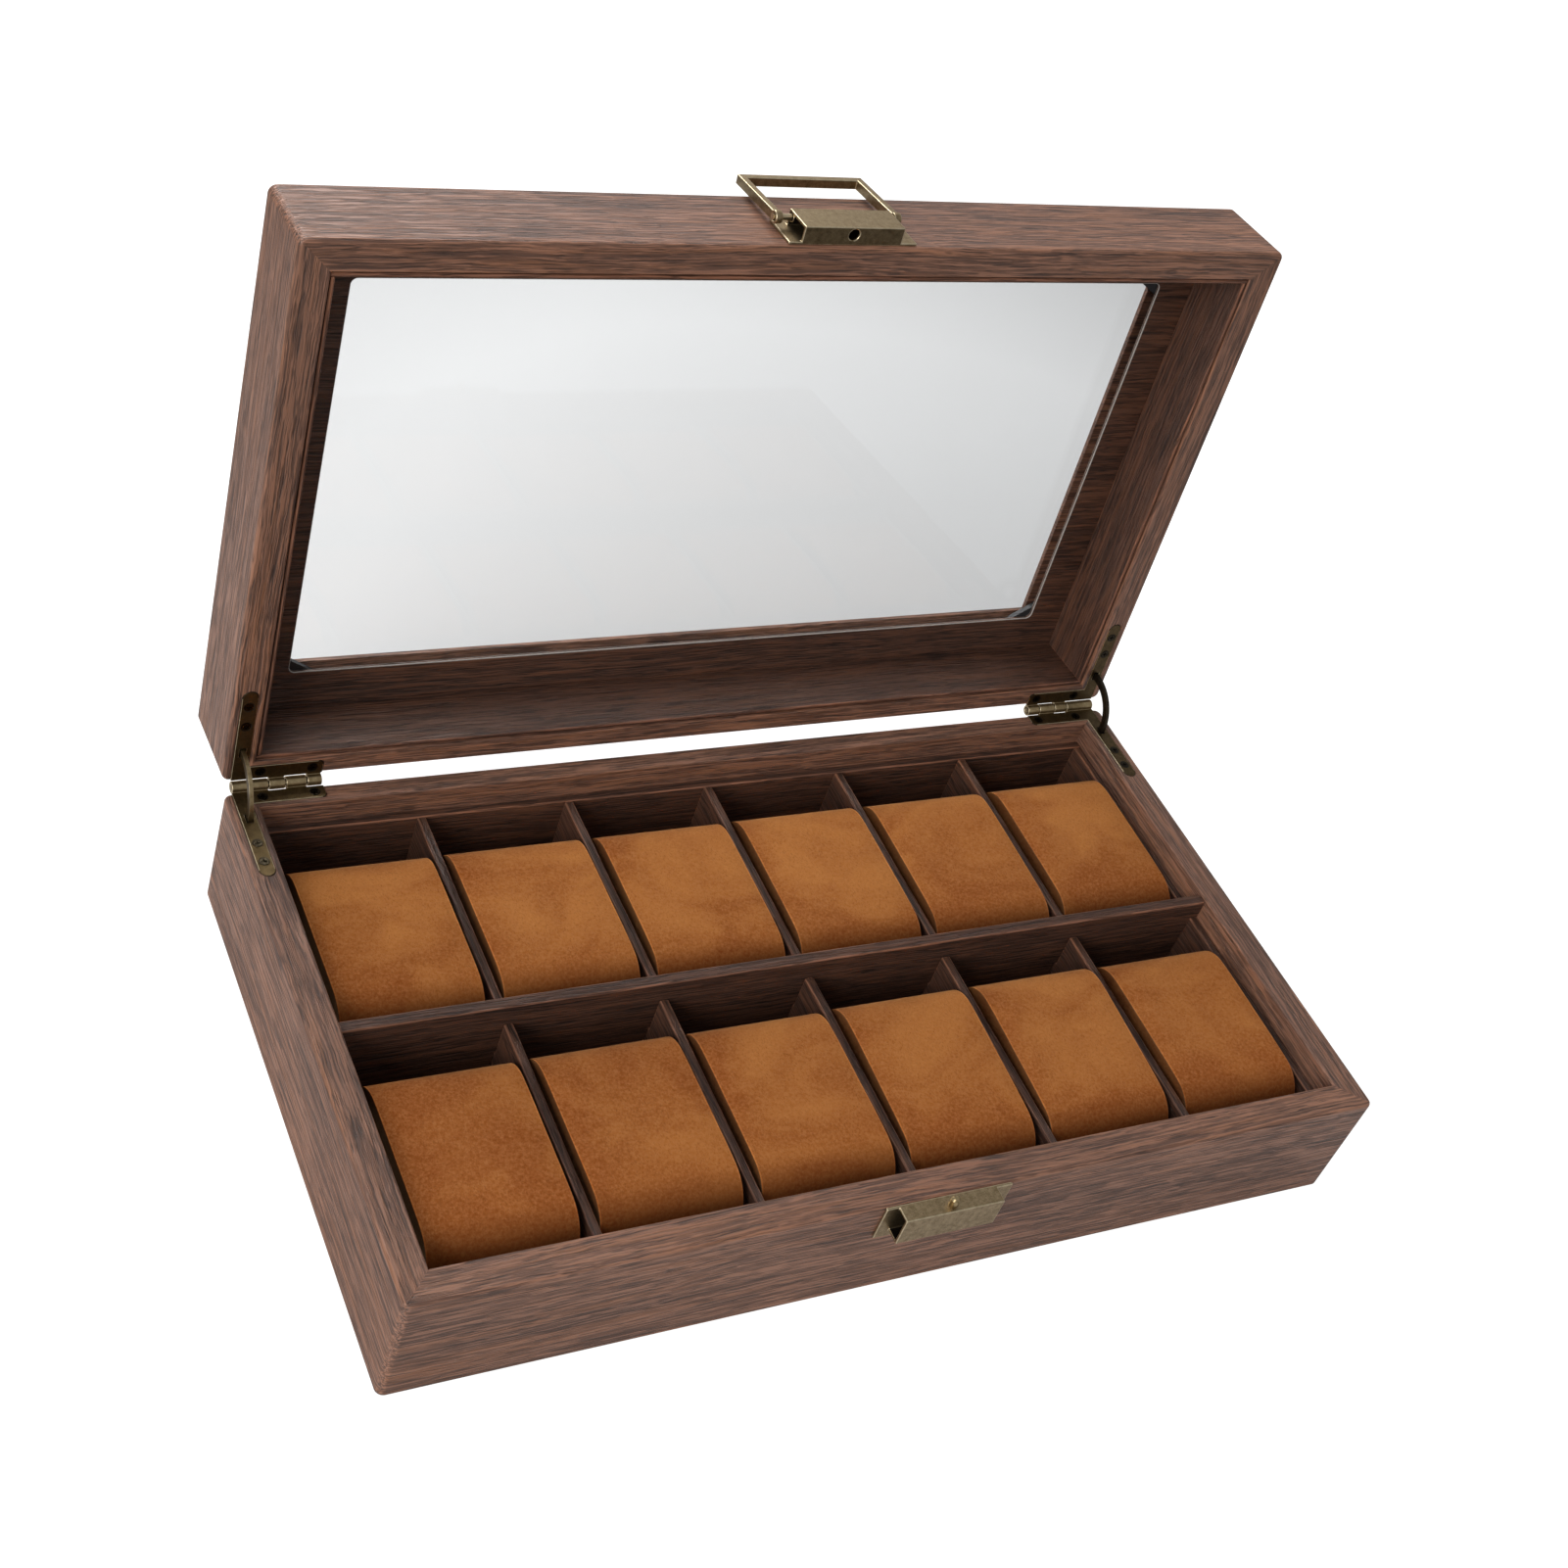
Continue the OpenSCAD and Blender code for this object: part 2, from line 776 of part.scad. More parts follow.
module catch_body() {
    color(bronze) difference() {
        translate([0, 0, catch_top]) mirror([0, 0, 1]) folded_body(catch_h);
        tack_holes(catch_tack_z);
        translate([clasp_x, guide_y, catch_top - sheet_t - cut])
            cylinder(d = rivet_d + 2 * screw_fit, h = sheet_t + 2 * cut);
    }
}

// locating pin riveted into the catch
module catch_pin() {
    z = catch_top - sheet_t;
    color(brass) translate([clasp_x, guide_y, 0]) union() {
        translate([0, 0, z - rivet_t]) cylinder(d = guide_d, h = rivet_t);
        translate([0, 0, z]) cylinder(d = rivet_d, h = sheet_t);
        translate([0, 0, catch_top]) cylinder(d = guide_d, h = guide_h - guide_tip);
        translate([0, 0, catch_top + guide_h - guide_tip])
            cylinder(d1 = guide_d, d2 = guide_d - 2 * guide_tip, h = guide_tip);
    }
}

module catch_tacks() {
    color(bronze) tacks(catch_tack_z);
}

module clasp_body() {
    color(bronze) lid_pose() difference() {
        union() {
            translate([0, 0, clasp_z0]) folded_body(clasp_h);
            loop_rod(roll_d, clasp_w, clasp_x);
        }
        loop_rod(axle_d + 2 * screw_fit, body_w, clasp_x);
        tack_holes(clasp_tack_z);
        translate([clasp_x, guide_y, clasp_z0 - cut])
            cylinder(d = guide_d + 2 * guide_fit, h = sheet_t + 2 * cut);
    }
}

// rod on the loop axis
module loop_rod(d, l, x) {
    translate([x - l / 2, axle_y, axle_z]) rotate([0, 90, 0]) cylinder(d = d, h = l);
}

module clasp_axle() {
    color(bronze) lid_pose() loop_rod(axle_d, axle_l, loop_x);
}

module clasp_tacks() {
    color(bronze) lid_pose() tacks(clasp_tack_z);
}

// square pull loop, leaning back against the lid wall
module clasp_loop() {
    x1 = loop_w / 2;
    x0 = x1 - loop_t;
    color(bronze) lid_pose() translate([loop_x, axle_y, axle_z]) rotate([-lean_deg, 0, 0]) difference() {
        union() {
            for (m = [0, 1]) mirror([m, 0, 0]) {
                block([x0, -loop_b / 2, 0], [x1, loop_b / 2, loop_len]);
                translate([x0, 0, 0]) rotate([0, 90, 0]) cylinder(d = eye_d, h = loop_t);
            }
            block([-x1, -loop_b / 2, loop_in], [x1, loop_b / 2, loop_len]);
        }
        translate([-loop_w, 0, 0]) rotate([0, 90, 0]) cylinder(d = loop_bore, h = 2 * loop_w);
    }
}

// ---------- drawing ----------

base_front();
base_back();
base_left();
base_right();
base_bottom();
base_felt();
tray_floor();
tray_front();
tray_back();
tray_left();
tray_right();
row_divider();
column_divider_1();
column_divider_2();
column_divider_3();
column_divider_4();
column_divider_5();
base_leaf_left();
base_leaf_right();
hinge_pin_left();
hinge_pin_right();
base_screws();
catch_body();
catch_pin();
catch_tacks();
lid_front();
lid_back();
lid_left();
lid_right();
lid_top();
lid_glass();
lid_inner_panel();
liner_front();
liner_back();
liner_left();
liner_right();
lid_leaf_left();
lid_leaf_right();
lid_screws();
clasp_body();
clasp_axle();
clasp_tacks();
window_corner_pads();
clasp_loop();
stay_left();
stay_right();
cushion_front_1();
cushion_front_2();
cushion_front_3();
cushion_front_4();
cushion_front_5();
cushion_front_6();
cushion_back_1();
cushion_back_2();
cushion_back_3();
cushion_back_4();
cushion_back_5();
cushion_back_6();
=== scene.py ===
"""Watch box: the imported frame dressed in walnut-grain leatherette, brushed suede, antiqued bronze and glass.
Metres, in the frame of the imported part: +X along the width, +Y to the hinges, +Z up."""

import json
import math

import bmesh
import bpy
from mathutils import Matrix, Vector

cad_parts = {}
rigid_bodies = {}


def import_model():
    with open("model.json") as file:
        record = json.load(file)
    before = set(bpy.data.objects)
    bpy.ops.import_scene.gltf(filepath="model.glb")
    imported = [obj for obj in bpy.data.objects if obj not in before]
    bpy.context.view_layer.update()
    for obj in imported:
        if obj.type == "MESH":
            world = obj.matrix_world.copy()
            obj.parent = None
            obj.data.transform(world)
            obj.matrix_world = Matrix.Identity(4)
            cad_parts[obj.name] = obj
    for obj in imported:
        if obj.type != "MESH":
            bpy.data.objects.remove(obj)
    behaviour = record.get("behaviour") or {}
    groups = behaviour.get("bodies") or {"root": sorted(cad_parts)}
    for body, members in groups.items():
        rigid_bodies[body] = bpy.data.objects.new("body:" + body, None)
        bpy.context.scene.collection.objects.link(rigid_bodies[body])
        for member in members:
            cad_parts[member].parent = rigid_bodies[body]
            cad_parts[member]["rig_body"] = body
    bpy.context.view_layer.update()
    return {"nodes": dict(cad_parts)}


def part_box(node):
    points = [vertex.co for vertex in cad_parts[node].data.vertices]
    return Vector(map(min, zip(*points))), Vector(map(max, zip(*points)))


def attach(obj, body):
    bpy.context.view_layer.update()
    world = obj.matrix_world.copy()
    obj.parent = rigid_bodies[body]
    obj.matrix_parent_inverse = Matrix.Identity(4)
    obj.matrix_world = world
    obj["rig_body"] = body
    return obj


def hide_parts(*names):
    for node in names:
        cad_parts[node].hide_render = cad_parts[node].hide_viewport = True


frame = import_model()
nodes = frame["nodes"]

CASE_W, CASE_D = 0.332, 0.1875
BASE_H, LID_H, RIM_GAP = 0.0432, 0.030, 0.001
WALL, BACK_WALL = 0.010, 0.007
HINGE = Vector((0, 0.09595, 0.0437))
OPEN = math.radians(94.4)
LID_OPEN = Matrix.Translation(HINGE) @ Matrix.Rotation(-OPEN, 4, "X") @ Matrix.Translation(-HINGE)


# ---------- workbench ----------


def only(piece):
    for o in bpy.context.selected_objects:
        o.select_set(False)
    piece.select_set(True)
    bpy.context.view_layer.objects.active = piece


def apply_all(piece):
    only(piece)
    for m in list(piece.modifiers):
        bpy.ops.object.modifier_apply(modifier=m.name)


def pick_edges(piece, test):
    """In edit mode, selects the edges whose two ends pass the test."""
    mesh = bmesh.from_edit_mesh(piece.data)
    bpy.ops.mesh.select_mode(type="EDGE")
    bpy.ops.mesh.select_all(action="DESELECT")
    for e in mesh.edges:
        e.select = test(e.verts[0].co, e.verts[1].co)
    mesh.select_flush_mode()
    bmesh.update_edit_mesh(piece.data)


def merged_copy(node, name, shut=False):
    """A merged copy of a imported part, ready to be shaped, for the lid in its closed place."""
    mesh = nodes[node].data.copy()
    mesh.name = name
    mesh.materials.clear()
    for spare in range(2):
        mesh.materials.append(None)
    if shut:
        mesh.transform(LID_OPEN.inverted())
    piece = bpy.data.objects.new(name, mesh)
    bpy.context.scene.collection.objects.link(piece)
    only(piece)
    bpy.ops.object.mode_set(mode="EDIT")
    bpy.ops.mesh.select_all(action="SELECT")
    bpy.ops.mesh.remove_doubles(threshold=2e-6)
    bpy.ops.mesh.dissolve_limited(angle_limit=math.radians(0.3))
    bpy.ops.object.mode_set(mode="OBJECT")
    return piece


def soft_block(low, high, upright, top, bottom):
    """A block with rounded upright, top and bottom edges, to trim boards with."""
    low, high = Vector(low), Vector(high)
    bpy.ops.mesh.primitive_cube_add(size=1, location=(low + high) / 2, scale=high - low)
    block = bpy.context.object
    bpy.ops.object.transform_apply(location=True, rotation=True, scale=True)
    bpy.ops.object.mode_set(mode="EDIT")
    pick_edges(block, lambda a, b: abs(a.z - b.z) > 1e-4)
    bpy.ops.mesh.bevel(offset=upright, segments=6, affect="EDGES")
    for level, width in ((high.z, top), (low.z, bottom)):
        pick_edges(block, lambda a, b: abs(a.z - level) < 1e-6 and abs(b.z - level) < 1e-6)
        bpy.ops.mesh.bevel(offset=width, segments=3, affect="EDGES")
    bpy.ops.object.mode_set(mode="OBJECT")
    return block


def trim(piece, block):
    """Keeps what lies inside the block."""
    cut = piece.modifiers.new("trim", "BOOLEAN")
    cut.operation, cut.solver, cut.object = "INTERSECT", "EXACT", block
    apply_all(piece)


def ease(piece, width, segments=2, angle=35, test=None, bevel_second_finish=False, clamp=True):
    """Rounds the edges over an angle, or those that pass the test."""
    bevel = piece.modifiers.new("ease", "BEVEL")
    bevel.width, bevel.segments = width, segments
    bevel.use_clamp_overlap = clamp
    if bevel_second_finish:
        bevel.material = 1
    if test is None:
        bevel.limit_method, bevel.angle_limit = "ANGLE", math.radians(angle)
    else:
        bevel.limit_method = "WEIGHT"
        weights = piece.data.attributes.new("bevel_weight_edge", "FLOAT", "EDGE")
        at = [v.co for v in piece.data.vertices]
        for e in piece.data.edges:
            weights.data[e.index].value = 1.0 if test(at[e.vertices[0]], at[e.vertices[1]]) else 0.0
    apply_all(piece)
    if test is not None and "bevel_weight_edge" in piece.data.attributes:
        piece.data.attributes.remove(piece.data.attributes["bevel_weight_edge"])


def mark_edges(piece):
    """Gives the rounded edges of a square board the second finish, the lighter copy: partly wear, partly
    painted highlight.
    """
    for p in piece.data.polygons:
        if max(abs(n) for n in p.normal) < 0.99:
            p.material_index = 1


def dress(piece, node, slot, *materials, shut=False):
    """Shades a finished piece, puts it in the node's place and gives it its finish."""
    if shut:
        piece.data.transform(LID_OPEN)
    only(piece)
    bpy.ops.object.shade_smooth_by_angle(angle=math.radians(38))
    even = piece.modifiers.new("even", "WEIGHTED_NORMAL")
    even.keep_sharp = True
    apply_all(piece)
    kept = [p.material_index for p in piece.data.polygons]
    piece.data.materials.clear()
    for m in materials:
        piece.data.materials.append(m)
    for p, i in zip(piece.data.polygons, kept):
        p.material_index = min(i, len(materials) - 1)
    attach(piece, nodes[node]["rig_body"])
    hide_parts(node)
    return piece


# ---------- finishes ----------


class Finish:
    """A material and its node tree, with short calls for the nodes it uses."""

    def __init__(self, name):
        self.material = bpy.data.materials.new(name)
        self.material.use_nodes = True
        self.tree = self.material.node_tree
        self.tree.nodes.clear()
        out = self.add("ShaderNodeOutputMaterial")
        self.skin = self.add("ShaderNodeBsdfPrincipled")
        self.link(self.skin.outputs[0], out.inputs[0])
        self.where = self.add("ShaderNodeTexCoord").outputs["Object"]

    def add(self, kind, **values):
        node = self.tree.nodes.new(kind)
        for k, v in values.items():
            setattr(node, k, v)
        return node

    def link(self, a, b):
        self.tree.links.new(a, b)

    def put(self, socket, value):
        if isinstance(value, bpy.types.NodeSocket):
            self.link(value, socket)
        else:
            socket.default_value = value

    def turned(self, source, turn=(0, 0, 0), scale=(1, 1, 1), shift=(0, 0, 0)):
        m = self.add("ShaderNodeMapping")
        self.link(source, m.inputs["Vector"])
        m.inputs["Location"].default_value = shift
        m.inputs["Rotation"].default_value = turn
        m.inputs["Scale"].default_value = scale
        return m.outputs[0]

    def noise(self, source, scale, detail=2, rough=0.5, distortion=0, colour=False):
        n = self.add("ShaderNodeTexNoise")
        self.link(source, n.inputs["Vector"])
        n.inputs["Scale"].default_value = scale
        n.inputs["Detail"].default_value = detail
        n.inputs["Roughness"].default_value = rough
        n.inputs["Distortion"].default_value = distortion
        return n.outputs["Color" if colour else "Fac"]

    def ramp(self, fac, low, high, a=0.0, b=1.0):
        r = self.add("ShaderNodeMapRange")
        self.put(r.inputs["Value"], fac)
        for k, v in (("From Min", low), ("From Max", high), ("To Min", a), ("To Max", b)):
            r.inputs[k].default_value = v
        return r.outputs[0]

    def maths(self, how, a, b=0.0, c=0.0):
        m = self.add("ShaderNodeMath", operation=how)
        for i, v in enumerate((a, b, c)):
            self.put(m.inputs[i], v)
        return m.outputs[0]

    def mix(self, fac, a, b, how="MIX"):
        m = self.add("ShaderNodeMix", data_type="RGBA", blend_type=how)
        for i, v in ((0, fac), (6, a), (7, b)):
            if isinstance(v, tuple) and len(v) == 3:
                v = (*v, 1)
            self.put(m.inputs[i], v)
        return m.outputs[2]

    def bump(self, height, strength, distance):
        b = self.add("ShaderNodeBump")
        self.link(height, b.inputs["Height"])
        b.inputs["Strength"].default_value = strength
        b.inputs["Distance"].default_value = distance
        self.link(b.outputs[0], self.skin.inputs["Normal"])

    def warp(self, source, noise, reach):
        pull = self.add("ShaderNodeVectorMath", operation="MULTIPLY_ADD")
        self.link(noise, pull.inputs[0])
        pull.inputs[1].default_value = reach
        self.link(source, pull.inputs[2])
        return pull.outputs[0]

    def set(self, **values):
        for k, v in values.items():
            self.put(self.skin.inputs[k.replace("_", " ")], v)
        return self.material


def leatherette(name, turn, pale, deep, warm, shine=0.5, seed=0.0, gloss=0.42):
    """Embossed walnut-grain leatherette. turn brings the grain of the board onto the X axis."""
    f = Finish(name)
    along = f.turned(f.where, turn, shift=(seed, seed * 0.7, seed * 0.3))
    sway = f.noise(f.turned(along, scale=(11, 25, 25)), 1, 2, 0.5, colour=True)
    shiver = f.noise(f.turned(along, scale=(170, 300, 300)), 1, 1, 0.5, colour=True)
    grain = f.warp(f.warp(along, sway, (0, 0.005, 0.005)), shiver, (0, 0.0006, 0.0006))
    broad = f.ramp(f.noise(f.turned(grain, scale=(9, 75, 75)), 1, 2, 0.5), 0.34, 0.66)
    band = f.ramp(f.noise(f.turned(grain, scale=(12, 330, 330)), 1, 3, 0.6), 0.34, 0.66)
    line = f.ramp(f.noise(f.turned(grain, scale=(36, 1500, 1500)), 1, 2, 0.6), 0.43, 0.57)
    fleck = f.ramp(f.noise(f.turned(grain, scale=(75, 1900, 1900), shift=(2, 4, 6)), 1, 1, 0.5), 0.54, 0.68)
    rust = f.ramp(f.noise(f.turned(grain, scale=(15, 380, 380), shift=(3, 5, 7)), 1, 3, 0.6), 0.50, 0.72)
    rest = f.maths("MULTIPLY_ADD", band, 0.24, f.maths("MULTIPLY", broad, 0.18))
    body = f.maths("MULTIPLY_ADD", line, 0.58, rest)
    colour = f.mix(body, deep, pale)
    colour = f.mix(f.maths("MULTIPLY", rust, 0.42), colour, warm)
    colour = f.mix(f.maths("MULTIPLY", fleck, 0.7), colour, tuple(c * 0.35 for c in deep))
    pits = f.maths("MULTIPLY", fleck, -0.7)
    height = f.maths("MULTIPLY_ADD", line, 0.7, f.maths("MULTIPLY_ADD", band, 0.3, pits))
    f.bump(height, 0.75, 0.00025)
    f.set(Base_Color=colour, Roughness=f.ramp(line, 0, 1, shine + 0.08, shine - 0.05))
    return f.set(Specular_IOR_Level=gloss)


def lighter(tones, gain):
    return [tuple(c * gain for c in tone) for tone in tones]


OUTER = [(0.290, 0.134, 0.078), (0.046, 0.019, 0.011), (0.325, 0.130, 0.055)]
# The inside tones are the outer leatherette at about a third of its brightness: painted shade for every board
# inside the case, the tray floor and base bottom included.
SHADED_INNER = [(0.104, 0.045, 0.026), (0.022, 0.009, 0.005), (0.150, 0.057, 0.025)]
TURNS = {"x": (0, 0, 0), "y": (0, 0, -math.pi / 2), "lid_y": (OPEN, 0, -math.pi / 2)}
outer, shaded_inner = {}, {}
for i, (way, turn) in enumerate(TURNS.items()):
    for store, name, tones, gain, gloss in (
        (outer, "leatherette", OUTER, 1.12, 0.62), (shaded_inner, "shaded_lining", SHADED_INNER, 2.5, 0.40),
    ):
        seed = 0.31 * i + 0.17 * (store is shaded_inner)
        # painted light: boards with their grain along X are drawn 1.06 as bright, those with their grain along
        # Y 0.95
        tones = lighter(tones, 1.06 if way == "x" else 0.95)
        store[way] = (
            leatherette(f"{name}_{way}", turn, *tones, seed=seed, gloss=gloss),
            # the second copy, lighter by gain, goes on the rounded edges: partly wear and partly painted
            # highlight, 1.12 outside and 2.5 on the painted-shade inside boards
            leatherette(f"{name}_edge_{way}", turn, *lighter(tones, gain), seed=seed, gloss=gloss),
        )


def suede_finish(name, gain):
    """Brushed suede, darker and redder in patches and towards its left edge; painted shade at its front edge,
    deepest where it curves down, and the front row darker than the back.
    """
    f = Finish(name)
    place = f.add("ShaderNodeUVMap", uv_map="cushion").outputs[0]
    parts = f.add("ShaderNodeSeparateXYZ")
    f.link(place, parts.inputs[0])
    sweep = f.noise(f.turned(f.where, (0.3, 0.2, 0.6), (1, 1.5, 1.2)), 24, 3, 0.55, 0.8)
    left = f.ramp(parts.outputs[0], 0.32, 0.0)
    # painted shade: darker towards the front edge of each cushion
    front = f.ramp(parts.outputs[1], 0.42, 0.10)
    edge = f.maths("MAXIMUM", left, front)
    row = f.add("ShaderNodeSeparateXYZ")
    f.link(f.where, row.inputs[0])
    darker_patches_and_shade = f.maths("MULTIPLY_ADD", edge, 0.44, f.ramp(sweep, 0.66, 0.36, 0.0, 0.85))
    darker_patches_and_shade = f.maths("ADD", darker_patches_and_shade, f.ramp(row.outputs[1], -0.04, 0.04, 0.17, -0.20))
    nap = f.noise(f.where, 1000, 3, 0.7)
    fibre = f.noise(f.turned(f.where, (0, 0, 0.5), (1, 0.45, 1)), 2600, 2, 0.6)
    light, deep = (0.405 * gain, 0.147 * gain, 0.034 * gain), (0.225 * gain, 0.057 * gain, 0.009 * gain)
    colour = f.mix(darker_patches_and_shade, light, deep)
    colour = f.mix(f.ramp(nap, 0.35, 0.68, 0, 0.42), colour, (0.50 * gain, 0.21 * gain, 0.068 * gain))
    colour = f.mix(f.ramp(fibre, 0.52, 0.72, 0, 0.45), colour, (0.13, 0.036, 0.008))
    # painted shade: the very front of each cushion, where it curves down, darkened further
    shade = f.ramp(parts.outputs[1], 0.17, 0.02, 0, 0.62)
    colour = f.mix(shade, colour, (0.10 * gain, 0.027 * gain, 0.005 * gain))
    f.bump(f.maths("MULTIPLY_ADD", fibre, 0.5, nap), 0.25, 0.0002)
    f.set(Base_Color=colour, Roughness=0.92, Specular_IOR_Level=0.10, Sheen_Weight=0.22, Sheen_Roughness=0.35)
    return f.set(Sheen_Tint=(0.95, 0.60, 0.32, 1))


def bronze_finish(name, deep, pale, rough, grime):
    f = Finish(name)
    patina = f.ramp(f.noise(f.where, 520, 4, 0.65), 0.30, 0.72)
    specks = f.ramp(f.noise(f.where, 2600, 2, 0.6), 0.45, 0.75)
    rubbed = f.noise(f.turned(f.where, scale=(1, 9, 9)), 420, 2, 0.5)
    colour = f.mix(patina, deep, pale)
    colour = f.mix(f.maths("MULTIPLY", specks, grime), colour, tuple(c * 0.5 for c in deep))
    f.bump(f.maths("MULTIPLY_ADD", rubbed, 0.4, specks), 0.08, 0.00006)
    f.set(Base_Color=colour, Metallic=1.0, Roughness=f.ramp(patina, 0, 1, rough + 0.08, rough - 0.04))
    return f.material


def felt_finish():
    f = Finish("dark_felt")
    fluff = f.noise(f.where, 700, 3, 0.7)
    colour = f.mix(fluff, (0.012, 0.010, 0.009), (0.045, 0.038, 0.034))
    f.bump(fluff, 0.5, 0.0004)
    return f.set(Base_Color=colour, Roughness=0.95, Sheen_Weight=0.3)


def pad_finish():
    f = Finish("black_pad")
    grit = f.noise(f.where, 1800, 2, 0.6)
    f.bump(grit, 0.15, 0.0001)
    return f.set(Base_Color=f.mix(grit, (0.006, 0.006, 0.007), (0.016, 0.015, 0.016)), Roughness=0.5)


def panel_edge_highlight_finish():
    """Light grey for the rounded edges of the thin panel of the lid: a painted highlight along them."""
    f = Finish("painted_panel_edge")
    mottle = f.noise(f.where, 1500, 2, 0.6)
    f.bump(mottle, 0.2, 0.0001)
    return f.set(Base_Color=f.mix(mottle, (0.22, 0.20, 0.18), (0.42, 0.39, 0.36)), Roughness=0.8)


def glass_finish():
    f = Finish("clear_glass")
    dust = f.ramp(f.noise(f.where, 60, 4, 0.7), 0.4, 0.9, 0.0, 0.02)
    return f.set(Base_Color=(0.935, 0.945, 0.945, 1), Roughness=dust, Transmission_Weight=1.0, IOR=1.3)


suede = suede_finish("tan_suede", 1.0)
# painted highlight: the strip along each seam is the suede at 1.45 times its tone, for the sheen along the
# cushion edges
seam_highlight_suede = suede_finish("seam_highlight_suede", 1.45)
side_suede = suede_finish("side_suede", 0.40)
bronze = bronze_finish("antique_bronze", (0.215, 0.152, 0.080), (0.420, 0.320, 0.188), 0.38, 0.6)
# a darker copy of the bronze, used only as painted shade on the clasp body's front face
shaded_face_bronze = bronze_finish("shaded_face_bronze", (0.085, 0.058, 0.029), (0.190, 0.140, 0.078), 0.46, 0.5)
# lighter bronze for the rounded edges of the fittings and the clasp axle: partly rubbed wear, partly painted
# highlight
rubbed_highlit_bronze = bronze_finish("rubbed_and_highlit_edge", (0.46, 0.37, 0.23), (0.68, 0.57, 0.39), 0.33, 0.2)
screw_bronze = bronze_finish("screw_bronze", (0.018, 0.014, 0.009), (0.052, 0.040, 0.024), 0.26, 0.5)
leaf_bronze = bronze_finish("leaf_bronze", (0.074, 0.049, 0.021), (0.132, 0.090, 0.042), 0.42, 0.5)
# near-black bronze used only as painted shade: in the countersinks, inside the folded clasp and catch, and
# over the right stay
shade_black_bronze = bronze_finish("shade_black_bronze", (0.030, 0.024, 0.017), (0.070, 0.055, 0.038), 0.42, 0.5)
bright_brass = bronze_finish("bright_brass", (0.28, 0.20, 0.10), (0.50, 0.39, 0.22), 0.30, 0.3)
felt = felt_finish()
pad = pad_finish()
glass = glass_finish()
panel_edge_highlight = panel_edge_highlight_finish()

# ---------- case walls ----------

half_w, half_d = CASE_W / 2, CASE_D / 2
inner_w, front_face, back_face = half_w - WALL, WALL - half_d, half_d - BACK_WALL


def inner_rim(level):
    """Edges of a wall along the inside of a rim at this level."""

    def test(a, b):
        flat = abs(a.z - level) < 1e-5 and abs(b.z - level) < 1e-5
        along_x = any(abs(a.y - y) < 1e-5 and abs(b.y - y) < 1e-5 for y in (front_face, back_face))
        along_y = abs(abs(a.x) - inner_w) < 1e-5 and abs(a.x - b.x) < 1e-5
        return flat and (along_x or along_y)

    return test


def wrapped_wall(node, block, rim, finish, shut):
    wall = merged_copy(node, node + "_wrapped", shut=shut)
    trim(wall, block)
    ease(wall, 0.0007, 3, test=inner_rim(rim))
    mark_edges(wall)
    dress(wall, node, "outer_leatherette", *finish, shut=shut)


base_block = soft_block((-half_w, -half_d, 0), (half_w, half_d, BASE_H), 0.0026, 0.0010, 0.0005)
for node, way in (("base_front", "x"), ("base_back", "x"), ("base_left", "y"), ("base_right", "y")):
    wrapped_wall(node, base_block, BASE_H, outer[way], False)
bpy.data.objects.remove(base_block)

lid_low, lid_high = BASE_H + RIM_GAP, BASE_H + RIM_GAP + LID_H
lid_block = soft_block((-half_w, -half_d, lid_low), (half_w, half_d, lid_high), 0.0026, 0.0006, 0.0012)
for node, way in (("lid_front", "x"), ("lid_back", "x"), ("lid_left", "lid_y"), ("lid_right", "lid_y")):
    wrapped_wall(node, lid_block, lid_low, outer[way], True)
bpy.data.objects.remove(lid_block)


def corner_folds(name, level, up, body, shut):
    """The little pleats of the leatherette at the ends of the front mitres, on a rim at this level."""
    pleats = []
    for side in (-1, 1):
        for reach, swing, size in ((0.0018, 38, 0.0011), (0.0031, 52, 0.0008)):
            place = (side * (half_w - reach), reach - half_d, level - up * 0.00014)
            bpy.ops.mesh.primitive_uv_sphere_add(segments=14, ring_count=8, radius=1, location=place)
            pleat = bpy.context.object
            pleat.scale = (size, size * 0.36, 0.00028)
            pleat.rotation_euler.z = -math.radians(swing) * side
            pleats.append(pleat)
    for o in pleats:
        o.select_set(True)
    bpy.ops.object.join()
    folds = bpy.context.object
    bpy.ops.object.transform_apply(location=True, rotation=True, scale=True)
    folds.name = name
    if shut:
        folds.data.transform(LID_OPEN)
    only(folds)
    bpy.ops.object.shade_smooth()
    folds.data.materials.append(outer["x"][0])
    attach(folds, body)


corner_folds("base_corner_folds", BASE_H, 1, nodes["base_front"]["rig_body"], False)
corner_folds("lid_corner_folds", lid_low, -1, nodes["lid_front"]["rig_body"], True)

# ---------- lid window and lining ----------


def window_edges(a, b):
    top = abs(a.z - lid_high) < 1e-5 and abs(b.z - lid_high) < 1e-5
    inside = all(abs(p.x) < inner_w - 0.001 and front_face + 0.001 < p.y < back_face - 0.001 for p in (a, b))
    return top and inside


top_board = merged_copy("lid_top", "lid_top_wrapped", shut=True)
ease(top_board, 0.0004, 2, test=window_edges)
dress(top_board, "lid_top", "outer_leatherette", outer["x"][0], shut=True)

for node, way, width, edge in (
    ("lid_inner_panel", "x", 0.0003, panel_edge_highlight),
    ("liner_front", "x", 0.0005, None), ("liner_back", "x", 0.0005, None),
    ("liner_left", "lid_y", 0.0005, None), ("liner_right", "lid_y", 0.0005, None),
):
    board = merged_copy(node, node + "_lined", shut=True)
    ease(board, width, 2, bevel_second_finish=True)
    dress(board, node, "inner_leatherette", shaded_inner[way][0], edge or shaded_inner[way][1], shut=True)

# ---------- tray ----------

